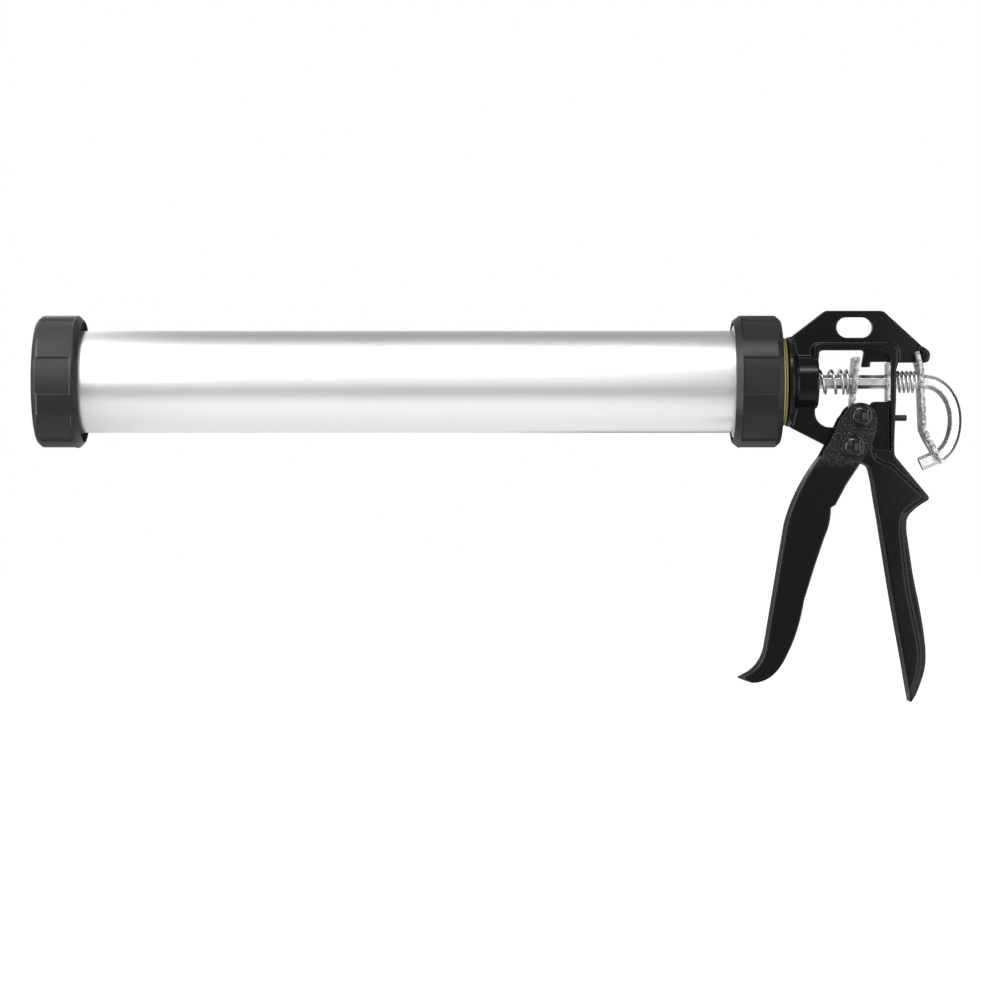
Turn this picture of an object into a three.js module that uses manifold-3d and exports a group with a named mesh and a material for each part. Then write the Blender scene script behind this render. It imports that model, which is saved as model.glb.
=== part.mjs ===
// Sausage-type caulking gun: a turning aluminium barrel with two screw caps, on a die-cast frame with
// a squeeze trigger, a gripping drive plate, a release lever and a hooked hexagon push rod.
// Units are millimetres. +X runs from the front cap to the hook, +Z is up, and the origin is the middle
// of the grip, where the hand holds the gun.
import * as THREE from 'three';
import { mergeVertices } from 'three/addons/utils/BufferGeometryUtils.js';
import Module from 'manifold-3d';

const wasm = await Module();
wasm.setup();

// Driving dimensions
const AXIS_Z = 111.3;
const GAP = 0.3;
const ROUND = 40;
const SMALL_ROUND = 20;

const TUBE_R = 27.25;
const TUBE_WALL = 1.5;
const TUBE_FRONT_X = -455.1;
const TUBE_REAR_X = -73.6;

const CAP_R = 35.4;
const CAP_EDGE_R = 32.7;
const CAP_BORE_R = 31.6;
const CAP_WALL = 3.6;
const FRONT_CAP_X = [-460.9, -436.3];
const REAR_CAP_X = [-89.9, -64.4];
const GRIP_COUNT = 7;
const GRIP_RECESS_DEG = 32;
const GRIP_DEPTH = 0.9;
const GRIP_PHASE_DEG = 3.5;
const NOZZLE_MOUTH_R = 20;

const COLLAR_R = 31.0;
const FLANGE_X = -61.4;
const FLANGE_R = 24;
const BOSS_R = 14;
const BOSS_REAR_X = -44.2;
const SPIGOT_R = 10.8;
const SPIGOT_FRONT_X = -82;
const ROD_BORE_R = 4.7;
const SPRING_SEAT_R = 7.6;

const WEB_HALF = 3;
const RIM_HALF = 7.7;
const HANDLE_HALF = 9.2;
const COLUMN_X = [-5.6, -2.9];
const PEG_R = 1.65;
const PEG_Z = 92;

const PIVOT = [-26.3, 76.9];
const DRIVE_PIN = [-22.2, 93.3];
const PIN_R = 2.5;
const PIN_HEAD_R = 5;
const TRIGGER_HALF = 11.5;
const TRIGGER_SHEET = 2;

const HEX_R = 3.9;
const ROD_SHOULDER_X = -434.5;
const ROD_STUB_R = 3.4;
const ROD_STUB_X = -455;
const HOOK_X = 13.4;
const HEX_CLEARANCE = 0.75;

const PLATE_LEAN_DEG = 4.5;
const PLATE_Z = [94.2, 124.4];
const PLATE_THICK = 2.7;
const PLATE_HALF = 12;
const TONGUE_HALF = 5.5;
const TONGUE_TOP_Z = 105.4;
const LEVER_THICK = 2.4;
const LEVER_HALF = 10.5;
const LEVER_TAIL_GAP = 5.4;
const DRIVE_SPRING_X = [-45.2, -27.9];
const RELEASE_SPRING_X = [-1.9, 8.4];

const NUT_X = [-454.4, -449.4];
const NUT_R = 7.5;
const FRONT_WASHER_X = [-449.1, -447.5];
const DISC_X = [-447.2, -439.4];
const DISC_R = 25.2;
const WIPER_X = [-439.1, -437.1];
const REAR_WASHER_X = [-436.8, -434.8];

// Materials
const paint = (color, roughness, metalness) =>
  new THREE.MeshStandardMaterial({ color, roughness, metalness });
const castBlack = () => paint(0x17181a, 0.35, 0.2);
const pressedBlack = () => paint(0x1b1b1c, 0.3, 0.2);
const capNylon = () => paint(0x3b3c3d, 0.55, 0);
const satinAluminium = () => paint(0xd9dbdd, 0.32, 1);
const zincSteel = () => paint(0xc9cbcc, 0.3, 1);
const washerYellow = () => paint(0xb8ac62, 0.6, 0);
const pistonNylon = () => paint(0xd8d4c8, 0.6, 0);
const blackRubber = () => paint(0x202020, 0.8, 0);

// Solids
function toSolid(geometry) {
  const bare = geometry.clone();
  bare.deleteAttribute('normal');
  bare.deleteAttribute('uv');
  const merged = mergeVertices(bare, 1e-4);
  const position = Float32Array.from(merged.attributes.position.array);
  const index = Uint32Array.from(merged.index.array);
  if (signedVolume(position, index) < 0) {
    for (let i = 0; i < index.length; i += 3) {
      [index[i], index[i + 1]] = [index[i + 1], index[i]];
    }
  }
  return new wasm.Manifold(new wasm.Mesh({ numProp: 3, vertProperties: position, triVerts: index }));
}

function signedVolume(position, index) {
  const corner = (i) => new THREE.Vector3().fromArray(position, 3 * index[i]);
  let volume = 0;
  for (let i = 0; i < index.length; i += 3) {
    volume += corner(i).dot(corner(i + 1).cross(corner(i + 2)));
  }
  return volume;
}

function named(name, solid, material) {
  const result = solid.getMesh();
  const geometry = new THREE.BufferGeometry();
  geometry.setAttribute('position', new THREE.BufferAttribute(Float32Array.from(result.vertProperties), 3));
  geometry.setIndex(new THREE.BufferAttribute(Uint32Array.from(result.triVerts), 1));
  geometry.computeVertexNormals();
  const mesh = new THREE.Mesh(geometry, material);
  mesh.name = name;
  return mesh;
}

// A turned solid on the barrel's axis, from [x, radius] points that close on themselves or on the axis.
function turned(profile, segments = ROUND, centre = [0, AXIS_Z]) {
  const points = profile.map(([x, r]) => new THREE.Vector2(r, x));
  points.push(points[0].clone());
  const geometry = new THREE.LatheGeometry(points, segments);
  geometry.rotateZ(-Math.PI / 2);
  geometry.translate(0, centre[0], centre[1]);
  return toSolid(geometry);
}

function ring(x0, x1, inner, outer, segments = ROUND) {
  return turned([[x0, inner], [x1, inner], [x1, outer], [x0, outer]], segments);
}

function disc(x0, x1, radius, segments = ROUND) {
  return turned([[x0, 0], [x1, 0], [x1, radius], [x0, radius]], segments);
}

// A turned solid on an axis along Y at (x, z), from [y, radius] points.
function crossTurned(profile, [x, z], segments = SMALL_ROUND) {
  const points = profile.map(([y, r]) => new THREE.Vector2(r, y));
  points.push(points[0].clone());
  const geometry = new THREE.LatheGeometry(points, segments);
  geometry.translate(x, 0, z);
  return toSolid(geometry);
}

function crossPin(y0, y1, radius, centre, segments = SMALL_ROUND) {
  return crossTurned([[y0, 0], [y1, 0], [y1, radius], [y0, radius]], centre, segments);
}

// A closed outline in the XZ plane from [x, z, corner radius] points; corners are quadratic rounds.
function outline(points) {
  const shape = new THREE.Shape();
  const count = points.length;
  points.forEach(([x, z, radius = 0], i) => {
    const here = new THREE.Vector2(x, z);
    const before = new THREE.Vector2(...points[(i + count - 1) % count].slice(0, 2));
    const after = new THREE.Vector2(...points[(i + 1) % count].slice(0, 2));
    const reach = Math.min(radius, 0.48 * here.distanceTo(before), 0.48 * here.distanceTo(after));
    const start = before.sub(here).setLength(reach).add(here);
    const end = after.sub(here).setLength(reach).add(here);
    if (i === 0) {
      shape.moveTo(start.x, start.y);
    } else {
      shape.lineTo(start.x, start.y);
    }
    if (reach > 0) {
      shape.quadraticCurveTo(x, z, end.x, end.y);
    }
  });
  shape.closePath();
  return shape;
}

// A flat solid with an outline in the XZ plane, from y0 to y1.
function slab(shape, y0, y1, curveSegments = 5) {
  const geometry = new THREE.ExtrudeGeometry(shape, { depth: y1 - y0, bevelEnabled: false, curveSegments });
  geometry.rotateX(Math.PI / 2);
  geometry.translate(0, y1, 0);
  return toSolid(geometry);
}

const slabBoth = (shape, half, curveSegments) => slab(shape, -half, half, curveSegments);

// The outline of a strip of even thickness along a centre line of [x, z] points.
function stripOutline(points, thickness) {
  const line = points.map((p) => new THREE.Vector2(...p));
  const sideOf = (sign) => line.map((here, i) => {
    const before = line[Math.max(i - 1, 0)];
    const after = line[Math.min(i + 1, line.length - 1)];
    const intoHere = i > 0 ? here.clone().sub(before).normalize() : after.clone().sub(here).normalize();
    const outOfHere = i < line.length - 1 ? after.clone().sub(here).normalize() : intoHere.clone();
    const along = intoHere.clone().add(outOfHere).normalize();
    const mitre = thickness / 2 / along.dot(intoHere);
    return [here.x - sign * along.y * mitre, here.y + sign * along.x * mitre];
  });
  return outline([...sideOf(1), ...sideOf(-1).reverse()]);
}

// A solid hexagon bar, its flats facing sideways, from x0 to x1.
function hexBar(x0, x1, radius) {
  return turned([[x0, 0], [x1, 0], [x1, radius], [x0, radius]], 6);
}

// Screw caps: moulded nylon with seven sunk grip panels round the outside.
function gripRecesses(x0, x1) {
  const half = THREE.MathUtils.degToRad(GRIP_RECESS_DEG / 2);
  return Array.from({ length: GRIP_COUNT }, (_, i) => {
    const middle = -Math.PI / 2 + THREE.MathUtils.degToRad(GRIP_PHASE_DEG) + (i * 2 * Math.PI) / GRIP_COUNT;
    const sector = new THREE.Shape();
    sector.absarc(0, 0, CAP_R - GRIP_DEPTH, middle - half, middle + half, false);
    sector.absarc(0, 0, CAP_R + 2, middle + half, middle - half, true);
    sector.closePath();
    const depth = x1 - x0;
    const geometry = new THREE.ExtrudeGeometry(sector, { depth, bevelEnabled: false, curveSegments: 6 });
    geometry.rotateY(Math.PI / 2);
    geometry.rotateX(-Math.PI / 2);
    geometry.translate(x0, 0, AXIS_Z);
    return toSolid(geometry);
  });
}

const cutAll = (solid, cutters) => cutters.reduce((rest, cutter) => rest.subtract(cutter), solid);

function frontCap() {
  const [x0, x1] = FRONT_CAP_X;
  const shell = turned([
    [x0, NOZZLE_MOUTH_R], [x0, CAP_EDGE_R], [x0 + 2.9, CAP_R], [x1 - 2.6, CAP_R], [x1, CAP_EDGE_R],
    [x1, CAP_BORE_R + 0.6], [x1 - 3, CAP_BORE_R + 0.6], [x1 - 3.6, CAP_BORE_R],
    [x0 + CAP_WALL, CAP_BORE_R], [x0 + CAP_WALL, NOZZLE_MOUTH_R],
  ]);
  return named('front_cap', cutAll(shell, gripRecesses(x0 - 1, x1 - 4.3)), capNylon());
}

function rearCap() {
  const [x0, x1] = REAR_CAP_X;
  const shell = turned([
    [x0, CAP_BORE_R], [x0, CAP_EDGE_R], [x0 + 3.6, CAP_R], [x1 - 3, CAP_R], [x1, CAP_EDGE_R],
    [x1, SPIGOT_R + GAP], [x1 - CAP_WALL, SPIGOT_R + GAP], [x1 - CAP_WALL, CAP_BORE_R],
  ]);
  return named('rear_cap', cutAll(shell, gripRecesses(x0 + 3.7, x1 + 1)), capNylon());
}

// Barrel: a drawn tube with a threaded collar bonded on each end.
function barrel() {
  const bore = TUBE_R - TUBE_WALL;
  const tube = ring(TUBE_FRONT_X, TUBE_REAR_X, bore, TUBE_R, 48);
  const frontCollar = ring(TUBE_FRONT_X, TUBE_FRONT_X + 12.5, TUBE_R + GAP, COLLAR_R);
  const rearCollar = ring(REAR_CAP_X[0] + 0.5, TUBE_REAR_X - 0.6, TUBE_R + GAP, COLLAR_R);
  return [
    named('barrel_tube', tube, satinAluminium()),
    named('front_thread_collar', frontCollar, satinAluminium()),
    named('rear_thread_collar', rearCollar, satinAluminium()),
  ];
}

// The seat that the nozzle's flange is clamped against, loose inside the front cap.
function nozzleSeat() {
  const x0 = FRONT_CAP_X[0] + CAP_WALL + GAP;
  return named('nozzle_seat_ring', ring(x0, TUBE_FRONT_X - GAP, NOZZLE_MOUTH_R, 30.6), pistonNylon());
}

// Swivel: washers each side of the rear cap's end wall and a nut on the frame's spigot.
function swivelPieces() {
  const wall = REAR_CAP_X[1];
  const inside = wall - CAP_WALL;
  const spigot = SPIGOT_R + GAP;
  const nut = turned([[inside - 9, 0], [inside - 2.4, 0], [inside - 2.4, 17], [inside - 9, 17]], 6);
  const nutBore = disc(inside - 10, inside, spigot);
  return [
    named('swivel_washer_front', ring(wall + GAP, wall + 1.4, spigot, 23.4), washerYellow()),
    named('swivel_washer_rear', ring(wall + 1.7, FLANGE_X - GAP, spigot, 23.4), washerYellow()),
    named('swivel_washer_inner', ring(inside - 2.1, inside - GAP, spigot, 20), washerYellow()),
    named('spigot_nut', nut.subtract(nutBore), zincSteel()),
  ];
}

// Frame: one die casting with the flange and spigot, the open head, the column and the grip.
function headOutline() {
  return outline([
    [-58.6, 135.2], [-40.4, 149.3, 1.5], [-9.3, 149.3, 1.5], [10.8, 131, 1], [12.8, 128.8], [12.8, 121.6],
    [COLUMN_X[1], 121.6], [COLUMN_X[1], 102], [-3.8, 80], [-3.8, 66], [-15, 60], [-17, 65.5, 2],
    [-22.5, 68.3], [-44.3, 79.5], [-58.6, 86.8],
  ]);
}

function windowOutline() {
  return outline([
    [-43.9, 128.2, 3.5], [-19.5, 128.2], [-20.9, 119.1], [-16.1, 119.1], [-16.1, 122],
    [COLUMN_X[0], 122], [COLUMN_X[0], 100.7], [-14.9, 100.7, 0.8], [-16.6, 98.6], [-17.6, 87, 1],
    [-40.7, 87, 3], [-45.6, 91.5, 4], [-45.6, 101.4],
  ]);
}

// The raised lip that runs over the window's top corners and becomes the column.
function headRim() {
  const outer = outline([
    [-47.1, 131.6, 5], [-1.6, 131.6, 9], [-1.6, 121.5, 1], [COLUMN_X[1], 117], [COLUMN_X[1], 102],
    [-3.8, 80],
    [-3.8, 66], [COLUMN_X[0], 66], [COLUMN_X[0], 128.4, 9], [-43.9, 128.4, 3.5], [-43.9, 124], [-47.1, 124],
  ]);
  return slabBoth(outer, RIM_HALF);
}

const HANDLE_FRONT = [
  [2.5, -47.6, 8], [0.7, -37, 12], [-3.2, -15.7, 12], [-6, 0.2, 12], [-12.3, 40.2, 12], [-13.8, 48.1, 8],
  [-15.4, 58.8, 5], [-16.8, 64.5, 3], [-17.6, 66.3, 2], [-22, 68.5], [-22, 77.6],
];

function handleOutline() {
  return outline([
    [-3.8, 74], [-3.5, 71.6, 2], [15.5, 48.8, 2.2], [8.2, 44.5, 3], [2.8, 39.2, 4], [2.4, 33, 8], [6, 8, 12],
    [8.8, -5, 12], [10.9, -16, 12], [12.4, -26.7, 8], [13, -34, 6], [12.6, -41.5, 6], [10.4, -48.8, 6],
    [7.5, -56.2, 2], [4.6, -60.4, 1], ...HANDLE_FRONT, [-16.6, 77.6], [-16.6, 74],
  ]);
}

// The raised flat of the grip, set in from the rear edge so that a ledge runs from the spur to the tip.
function gripFlatOutline() {
  return outline([
    [-6, 66.6, 1.5], [12.2, 49.6, 2.2], [7.5, 46.8, 3], [3.1, 43.6, 3], [-0.2, 39.6, 4], [-0.8, 33, 6],
    [1.2, 12, 12], [3.4, -3.5, 12], [6.6, -18, 12], [8.8, -28, 8], [9.3, -36, 6], [8.2, -44.4, 8],
    [5.2, -53.6, 2], [4, -56.4, 1], ...HANDLE_FRONT, [-16.6, 77.6, 1], [-14.6, 70.4, 4], [-10.7, 68.1, 2],
  ]);
}

function handleSolid() {
  return slabBoth(handleOutline(), RIM_HALF).add(slabBoth(gripFlatOutline(), HANDLE_HALF));
}

// The lobe at the head's rear corner keeps the release lever's two upper prongs from slipping off.
function leverLobe() {
  const shape = outline([[10.4, 130.6, 0.8], [15.8, 127, 3], [14.4, 121.4, 2], [11, 121.6, 1]]);
  return slabBoth(shape, RIM_HALF);
}

function flangeAndBoss() {
  return turned([
    [SPIGOT_FRONT_X, 0], [SPIGOT_FRONT_X, SPIGOT_R], [FLANGE_X, SPIGOT_R], [FLANGE_X, FLANGE_R - 0.7],
    [FLANGE_X + 0.7, FLANGE_R], [FLANGE_X + 3, FLANGE_R], [FLANGE_X + 5.6, BOSS_R], [BOSS_REAR_X, BOSS_R],
    [BOSS_REAR_X, 0],
  ]);
}

function hangSlot() {
  const slot = new THREE.Shape();
  const radius = 5.5;
  const middle = 140.4;
  slot.absarc(-20.5, middle, radius, -Math.PI / 2, Math.PI / 2, false);
  slot.absarc(-28.7, middle, radius, Math.PI / 2, (3 * Math.PI) / 2, false);
  slot.closePath();
  return slabBoth(slot, WEB_HALF + 1, 10);
}

function frameCasting() {
  const head = slabBoth(headOutline(), WEB_HALF)
    .subtract(slabBoth(windowOutline(), WEB_HALF + 1))
    .subtract(hangSlot());
  const pivotBoss = crossPin(-HANDLE_HALF, HANDLE_HALF, 6.6, PIVOT);
  const solid = head
    .add(headRim())
    .add(handleSolid())
    .add(leverLobe())
    .add(pivotBoss)
    .add(flangeAndBoss());
  const rodBore = disc(SPIGOT_FRONT_X - 1, COLUMN_X[1] + 1, ROD_BORE_R, SMALL_ROUND);
  const springSeat = disc(BOSS_REAR_X - 2.2, BOSS_REAR_X + 1, SPRING_SEAT_R, 28);
  const pegBore = PEG_R + GAP;
  const pegHole = turned([[-10, 0], [0, 0], [0, pegBore], [-10, pegBore]], 12, [0, PEG_Z]);
  const pivotHole = crossPin(-HANDLE_HALF - 1, HANDLE_HALF + 1, PIN_R + GAP, PIVOT);
  return named('frame_casting', cutAll(solid, [rodBore, springSeat, pegHole, pivotHole]), castBlack());
}

function stopPeg() {
  const profile = [[-9.7, 0], [3.5, 0], [3.5, 1.35], [3.2, PEG_R], [-9.7, PEG_R]];
  return named('stop_peg', turned(profile, 12, [0, PEG_Z]), castBlack());
}

function guidePlate() {
  const plate = slabBoth(outline([[-7.5, 121.6], [-5.9, 121.6], [-5.9, 101], [-7.5, 101]]), RIM_HALF);
  return named('rod_guide_plate', plate.subtract(disc(-9, -5, ROD_BORE_R - 0.2, 24)), zincSteel());
}

// Trigger: a channel pressed from sheet, its front rounded over and its two cheeks riveted to the frame.
function triggerOutline() {
  const [pinX] = DRIVE_PIN;
  const shape = new THREE.Shape();
  shape.moveTo(-35.4, 86.1);
  shape.lineTo(-32.6, 92);
  shape.absarc(pinX - 0.1, 90.9, 9.1, Math.PI - 0.35, -0.2, true);
  shape.quadraticCurveTo(-14, 81, -17.8, 74.4);
  shape.lineTo(-29.8, 56.4);
  shape.lineTo(-35.6, 45.4);
  shape.lineTo(-38, 44.1);
  shape.quadraticCurveTo(-38, 35.5, -41.2, 29);
  shape.lineTo(-46.4, 13.7);
  shape.lineTo(-52.3, -5.3);
  shape.quadraticCurveTo(-55, -22, -61.2, -34);
  shape.quadraticCurveTo(-68.2, -49.4, -80, -49.2);
  shape.lineTo(-87, -46.8);
  shape.quadraticCurveTo(-75.2, -43.4, -72.4, -31);
  shape.lineTo(-61.4, 35.2);
  shape.quadraticCurveTo(-56.2, 55, -43, 71.6);
  shape.closePath();
  return shape;
}

function triggerHollow() {
  const shape = new THREE.Shape();
  shape.moveTo(-46, 110);
  shape.lineTo(-46, 73.2);
  shape.lineTo(-41.2, 70.6);
  shape.quadraticCurveTo(-54.1, 54.4, -59.3, 34.8);
  shape.lineTo(-70.4, -31.4);
  shape.quadraticCurveTo(-71.6, -38, -76.6, -43.6);
  shape.lineTo(-76.6, -60);
  shape.lineTo(0, -60);
  shape.lineTo(0, 110);
  shape.closePath();
  return slabBoth(shape, TRIGGER_HALF - TRIGGER_SHEET, 8);
}

function trigger() {
  const solid = slabBoth(triggerOutline(), TRIGGER_HALF, 8);
  const reach = TRIGGER_HALF + 1;
  const holes = [PIVOT, DRIVE_PIN].map((at) => crossPin(-reach, reach, PIN_R + GAP, at));
  return named('trigger', cutAll(solid, [triggerHollow(), ...holes]), pressedBlack());
}

// A rivet: a straight shank with a low dome on each end.
function rivet(name, at) {
  const seat = TRIGGER_HALF + 1.2;
  const dome = [[seat, PIN_HEAD_R], [seat + 0.9, PIN_HEAD_R - 0.4], [seat + 1.8, PIN_HEAD_R - 1.6],
    [seat + 2.4, PIN_HEAD_R - 3.2], [seat + 2.6, 0]];
  const farDome = dome.map(([y, r]) => [-y, r]).reverse();
  const profile = [...farDome, [-seat, PIN_R], [seat, PIN_R], ...dome];
  return named(name, crossTurned(profile, at), castBlack());
}

function rivetWasher(name, at, side) {
  const near = TRIGGER_HALF + GAP;
  const profile = [[near, PIN_R + GAP], [near + 0.6, PIN_R + GAP], [near + 0.6, 6.3], [near, 6.3]];
  return named(name, crossTurned(profile.map(([y, r]) => [side * y, r]), at), castBlack());
}

// Drive plate: a thick sheared plate that leans on the rod, and a tongue that the drive pin pushes.
function drivePlate() {
  const [bottom, top] = PLATE_Z;
  const slope = Math.tan(THREE.MathUtils.degToRad(PLATE_LEAN_DEG));
  const faceAt = (z) => DRIVE_PIN[0] - PIN_R - GAP + (z - DRIVE_PIN[1]) * slope;
  const side = outline([
    [faceAt(bottom), bottom], [faceAt(top), top], [faceAt(top) - PLATE_THICK, top],
    [faceAt(bottom) - PLATE_THICK, bottom],
  ]);
  const corner = outline([[-40, TONGUE_TOP_Z], [-10, TONGUE_TOP_Z], [-10, 80], [-40, 80]]);
  const corners = [slab(corner, TONGUE_HALF, PLATE_HALF + 1), slab(corner, -PLATE_HALF - 1, -TONGUE_HALF)];
  const rodHole = hexBar(-40, -10, HEX_R + HEX_CLEARANCE);
  return named('drive_plate', cutAll(slabBoth(side, PLATE_HALF), [...corners, rodHole]), zincSteel());
}

// Release lever: bent strip with a rod hole, a forked top round the lobe's neck and a forked tail.
function releaseLever() {
  const side = stripOutline([[7.9, 127.2], [10.5, 117.5], [11.8, 86], [13.9, 81.2], [21.6, 68]], LEVER_THICK);
  const strip = slabBoth(side, LEVER_HALF);
  const topFork = slabBoth(outline([[0, 140], [30, 140], [30, 119.4], [0, 119.4]]), WEB_HALF + 1);
  const tailFork = slabBoth(outline([[0, 80], [30, 80], [30, 50], [0, 50]]), LEVER_TAIL_GAP);
  const rodHole = disc(0, 20, HEX_R + 1.1, SMALL_ROUND);
  return named('release_lever', cutAll(strip, [topFork, tailFork, rodHole]), zincSteel());
}

// Coil springs on the rod. closing is a power: 1 keeps the pitch even, more packs the last turns close.
class Coil extends THREE.Curve {
  constructor(x0, x1, radius, turns, closing) {
    super();
    Object.assign(this, { x0, x1, radius, turns, closing });
  }

  getPoint(t) {
    const angle = 2 * Math.PI * this.turns * t;
    const eased = 1 - (1 - t) ** this.closing;
    const x = this.x0 + (this.x1 - this.x0) * eased;
    return new THREE.Vector3(x, this.radius * Math.cos(angle), AXIS_Z + this.radius * Math.sin(angle));
  }
}

function spring(name, coil, wireRadius) {
  const wire = new THREE.Shape();
  wire.absarc(0, 0, wireRadius, 0, 2 * Math.PI, false);
  const geometry = new THREE.ExtrudeGeometry(wire, {
    steps: Math.round(coil.turns * 12), bevelEnabled: false, extrudePath: coil, curveSegments: 3,
  });
  return named(name, toSolid(geometry), zincSteel());
}

// Push rod: hexagon bar with a turned stub for the piston and a pull hook bent on the rear end.
function pushRod() {
  const at = (x, z) => new THREE.Vector3(x, 0, z);
  const path = new THREE.CurvePath();
  path.add(new THREE.LineCurve3(at(ROD_SHOULDER_X, AXIS_Z), at(HOOK_X, AXIS_Z)));
  path.add(new THREE.CubicBezierCurve3(at(HOOK_X, AXIS_Z), at(22.1, AXIS_Z), at(29.2, 102.2), at(29.2, 91)));
  path.add(new THREE.CubicBezierCurve3(at(29.2, 91), at(29.2, 81.3), at(25.4, 73.8), at(19.5, 71.2)));
  path.add(new THREE.LineCurve3(at(19.5, 71.2), at(10.8, 67.2)));
  const hexagon = new THREE.Shape(Array.from({ length: 6 }, (_, i) =>
    new THREE.Vector2(HEX_R, 0).rotateAround(new THREE.Vector2(), (i * Math.PI) / 3)));
  const bar = new THREE.ExtrudeGeometry(hexagon, { steps: 120, bevelEnabled: false, extrudePath: path });
  const stub = disc(ROD_STUB_X, ROD_SHOULDER_X + 2, ROD_STUB_R, SMALL_ROUND);
  return named('push_rod', toSolid(bar).add(stub), zincSteel());
}

// Piston: discs and washers on the rod's stub, held by a nut.
function pistonPieces() {
  const hole = ROD_STUB_R + GAP;
  const [nut0, nut1] = NUT_X;
  const [disc0, disc1] = DISC_X;
  const shoulder = DISC_R - 0.8;
  const nut = turned([[nut0, 0], [nut1, 0], [nut1, NUT_R], [nut0, NUT_R]], 6);
  const disk = turned([
    [disc0, hole], [disc0, DISC_R - 2.6], [disc0 + 1, DISC_R - 0.6], [disc0 + 2, DISC_R],
    [disc0 + 5.6, DISC_R], [disc0 + 6.2, shoulder], [disc1, shoulder], [disc1, hole],
  ]);
  return [
    named('piston_nut', nut.subtract(disc(nut0 - 1, nut1 + 1, hole, SMALL_ROUND)), zincSteel()),
    named('piston_front_washer', ring(...FRONT_WASHER_X, hole, 9, SMALL_ROUND), zincSteel()),
    named('piston_disc', disk, pistonNylon()),
    named('piston_wiper', ring(...WIPER_X, hole, DISC_R + 0.2), blackRubber()),
    named('piston_rear_washer', ring(...REAR_WASHER_X, hole, 12, 24), zincSteel()),
  ];
}

const group = new THREE.Group();
group.add(
  ...barrel(),
  frontCap(),
  nozzleSeat(),
  rearCap(),
  ...swivelPieces(),
  frameCasting(),
  stopPeg(),
  guidePlate(),
  trigger(),
  rivet('pivot_rivet', PIVOT),
  rivet('drive_rivet', DRIVE_PIN),
  rivetWasher('pivot_washer_near', PIVOT, -1),
  rivetWasher('pivot_washer_far', PIVOT, 1),
  rivetWasher('drive_washer_near', DRIVE_PIN, -1),
  rivetWasher('drive_washer_far', DRIVE_PIN, 1),
  drivePlate(),
  spring('drive_spring', new Coil(...DRIVE_SPRING_X, 6.15, 4, 1.7), 0.7),
  releaseLever(),
  spring('release_spring', new Coil(...RELEASE_SPRING_X, 5.35, 4.5, 1), 0.65),
  pushRod(),
  ...pistonPieces(),
);

export default group;
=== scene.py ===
import math

import bmesh
import bpy
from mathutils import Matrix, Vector


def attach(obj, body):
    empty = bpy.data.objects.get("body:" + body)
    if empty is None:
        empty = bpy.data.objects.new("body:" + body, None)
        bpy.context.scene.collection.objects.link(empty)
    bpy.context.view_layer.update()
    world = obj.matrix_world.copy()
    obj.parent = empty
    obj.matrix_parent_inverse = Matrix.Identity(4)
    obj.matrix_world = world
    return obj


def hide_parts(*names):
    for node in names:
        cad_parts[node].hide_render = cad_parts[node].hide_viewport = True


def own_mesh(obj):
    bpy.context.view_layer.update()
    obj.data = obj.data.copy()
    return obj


# Sausage caulking gun, dressed piece by piece round its frame model. Lengths in the file are millimetres
# times MM; +X runs from the front cap to the hook, +Z is up, and the origin is the middle of the grip.
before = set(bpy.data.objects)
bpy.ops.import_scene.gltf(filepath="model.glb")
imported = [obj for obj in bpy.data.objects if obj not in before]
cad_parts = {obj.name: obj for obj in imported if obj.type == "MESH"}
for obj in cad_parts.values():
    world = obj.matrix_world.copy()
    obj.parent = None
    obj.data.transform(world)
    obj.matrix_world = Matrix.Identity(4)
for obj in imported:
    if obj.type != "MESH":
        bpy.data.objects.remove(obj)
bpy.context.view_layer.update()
MM = 0.001
AXIS_Z = 111.3


# ---- Bench, light and camera ------------------------------------------------------------------
# The gun hangs in the light over a pale bench. The surround is white, one large soft light stands high
# in front, and a graded tent that only reflections meet gives the metal its bands and the paint its depth.
BENCH_Z = -330
BENCH_HALF = 14000
CAMERA_AT = (-219.1, -1800, 53.2)
CAMERA_LENS = 123.46


class Wire:
    """One socket of a node tree. Arithmetic on it adds Math nodes."""

    def __init__(self, recipe, socket):
        self.recipe, self.socket = recipe, socket

    def maths(self, operation, *values):
        return self.recipe.node("ShaderNodeMath", {"operation": operation}, dict(enumerate(values)))

    def __add__(self, other):
        return self.maths("ADD", self, other)

    def __mul__(self, other):
        return self.maths("MULTIPLY", self, other)

    def __sub__(self, other):
        return self.maths("SUBTRACT", self, other)

    def __rsub__(self, other):
        return self.maths("SUBTRACT", other, self)

    def __truediv__(self, other):
        return self.maths("DIVIDE", self, other)

    def __pow__(self, other):
        return self.maths("POWER", self, other)

    __radd__, __rmul__ = __add__, __mul__


class Recipe:
    """A node tree written one node at a time."""

    def __init__(self, tree):
        self.tree = tree

    def node(self, kind, settings=None, inputs=None, output=0):
        made = self.tree.nodes.new(kind)
        for key, value in (settings or {}).items():
            if key == "stops":
                ramp = made.color_ramp.elements
                ramp[0].position, ramp[0].color = value[0]
                ramp[1].position, ramp[1].color = value[-1]
                for position, colour in value[1:-1]:
                    ramp.new(position).color = colour
            else:
                setattr(made, key, value)
        for key, value in (inputs or {}).items():
            if isinstance(value, Wire):
                self.tree.links.new(value.socket, made.inputs[key])
            else:
                made.inputs[key].default_value = value
        return Wire(self, made.outputs[output]) if len(made.outputs) else None


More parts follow.
